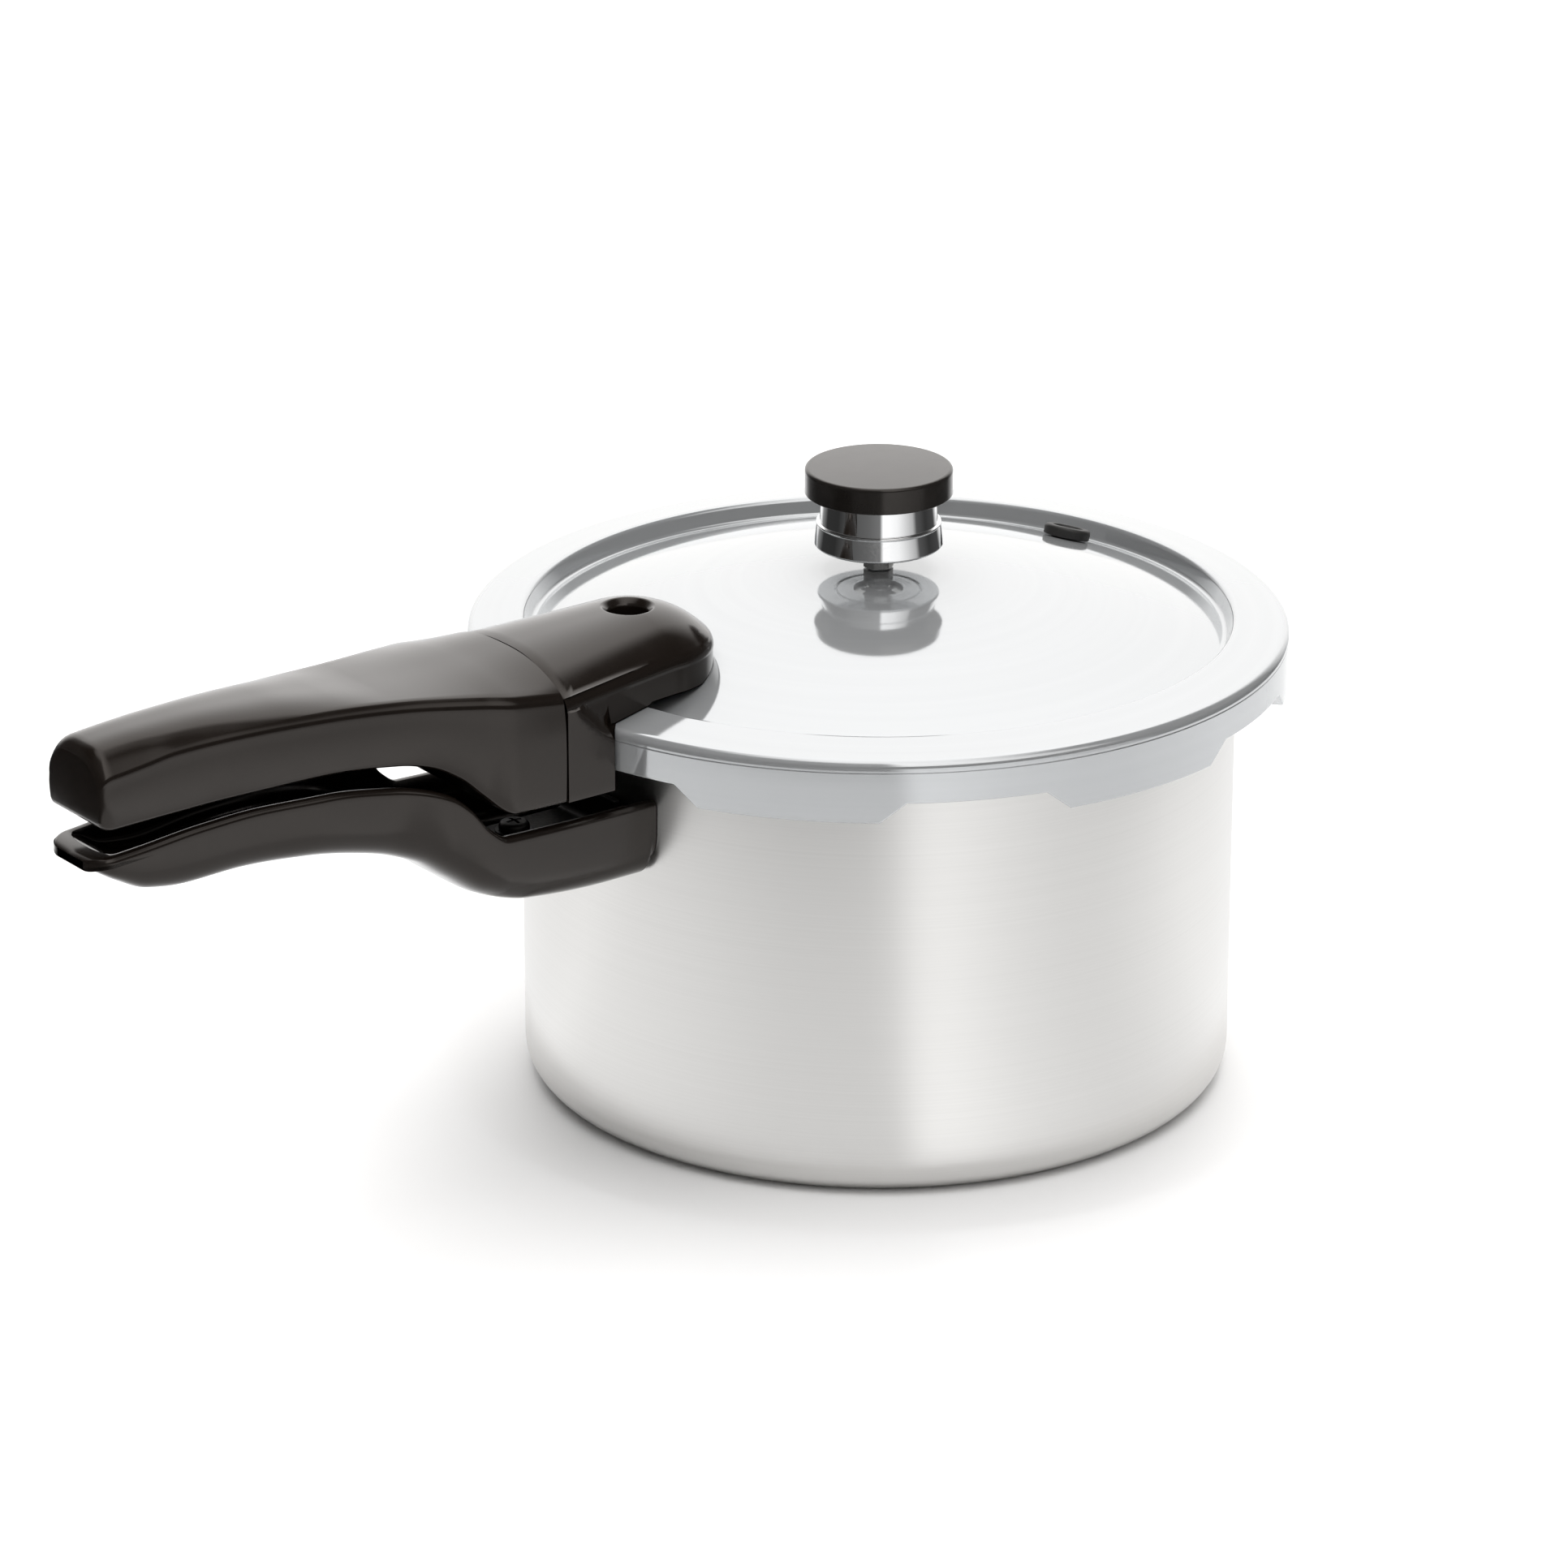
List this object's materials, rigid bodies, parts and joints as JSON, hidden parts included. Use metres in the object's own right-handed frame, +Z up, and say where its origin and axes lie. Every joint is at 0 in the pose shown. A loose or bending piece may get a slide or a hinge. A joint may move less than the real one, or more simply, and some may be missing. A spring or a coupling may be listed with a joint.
{
  "type": "stovetop pressure cooker",
  "caption": "Stovetop pressure cooker: aluminium pot and domed bayonet cover with long twin handles, vent pipe, rocking weight regulator, air vent and cooking rack.",
  "frame": {"origin": "centre of the flat base, on the surface it stands on", "axes": "+Z up through the pot's axis and the regulator; both handles point along -X"},
  "size_m": [0.389, 0.236, 0.1815],
  "materials": {
    "pot_aluminium": "satin",
    "cover_aluminium": "mirror polished",
    "chrome": "polished",
    "fittings_steel": "satin",
    "phenolic": "semi-gloss moulded",
    "rubber": "matte"
  },
  "bodies": {
    "pot": {"pot_body": "pot_aluminium", "handle_bracket": "fittings_steel", "body_handle": "phenolic", "body_handle_washer": "fittings_steel", "body_handle_screw": "fittings_steel", "lock_bracket": "fittings_steel"},
    "rack": {"cooking_rack": "pot_aluminium"},
    "ring": {"sealing_ring": "rubber"},
    "cover": {"cover": "cover_aluminium", "vent_pipe": "fittings_steel", "vent_pipe_washer": "fittings_steel", "vent_pipe_nut": "fittings_steel", "overpressure_plug": "rubber", "air_vent_cup": "fittings_steel", "cover_handle_front": "phenolic", "cover_handle_grip": "phenolic", "cover_bracket": "fittings_steel", "cover_screw_seal": "rubber", "cover_screw_front": "fittings_steel", "cover_screw_rear": "fittings_steel", "handle_tie_screw": "fittings_steel"},
    "vent_pin": {"air_vent_pin": "fittings_steel", "air_vent_gasket": "rubber"},
    "needle": {"regulator_needle": "fittings_steel"},
    "regulator": {"regulator_weight": "chrome", "regulator_clip": "fittings_steel", "regulator_cap": "phenolic"}
  },
  "joints": [
    {"name": "rack_lift", "type": "slide", "parent": "pot", "child": "rack", "axis": [0, 0, 1], "range_m": [0, 0.1]},
    {"name": "cover_lift", "type": "slide", "parent": "pot", "child": "ring", "axis": [0, 0, 1], "range_m": [0, 0.16]},
    {"name": "cover_turn", "type": "hinge", "parent": "ring", "child": "cover", "pos_m": [0, 0, 0.13], "axis": [0, 0, 1], "range_deg": [0, 25.7]},
    {"name": "air_vent_rise", "type": "slide", "parent": "cover", "child": "vent_pin", "axis": [0, 0, 1], "range_m": [0, 0.004]},
    {"name": "regulator_lift", "type": "slide", "parent": "cover", "child": "needle", "axis": [0, 0, 1], "range_m": [0, 0.03]},
    {"name": "regulator_rock", "type": "hinge", "parent": "needle", "child": "regulator", "pos_m": [0, 0, 0.1714], "axis": [0, 1, 0], "range_deg": [-3, 3]}
  ]
}
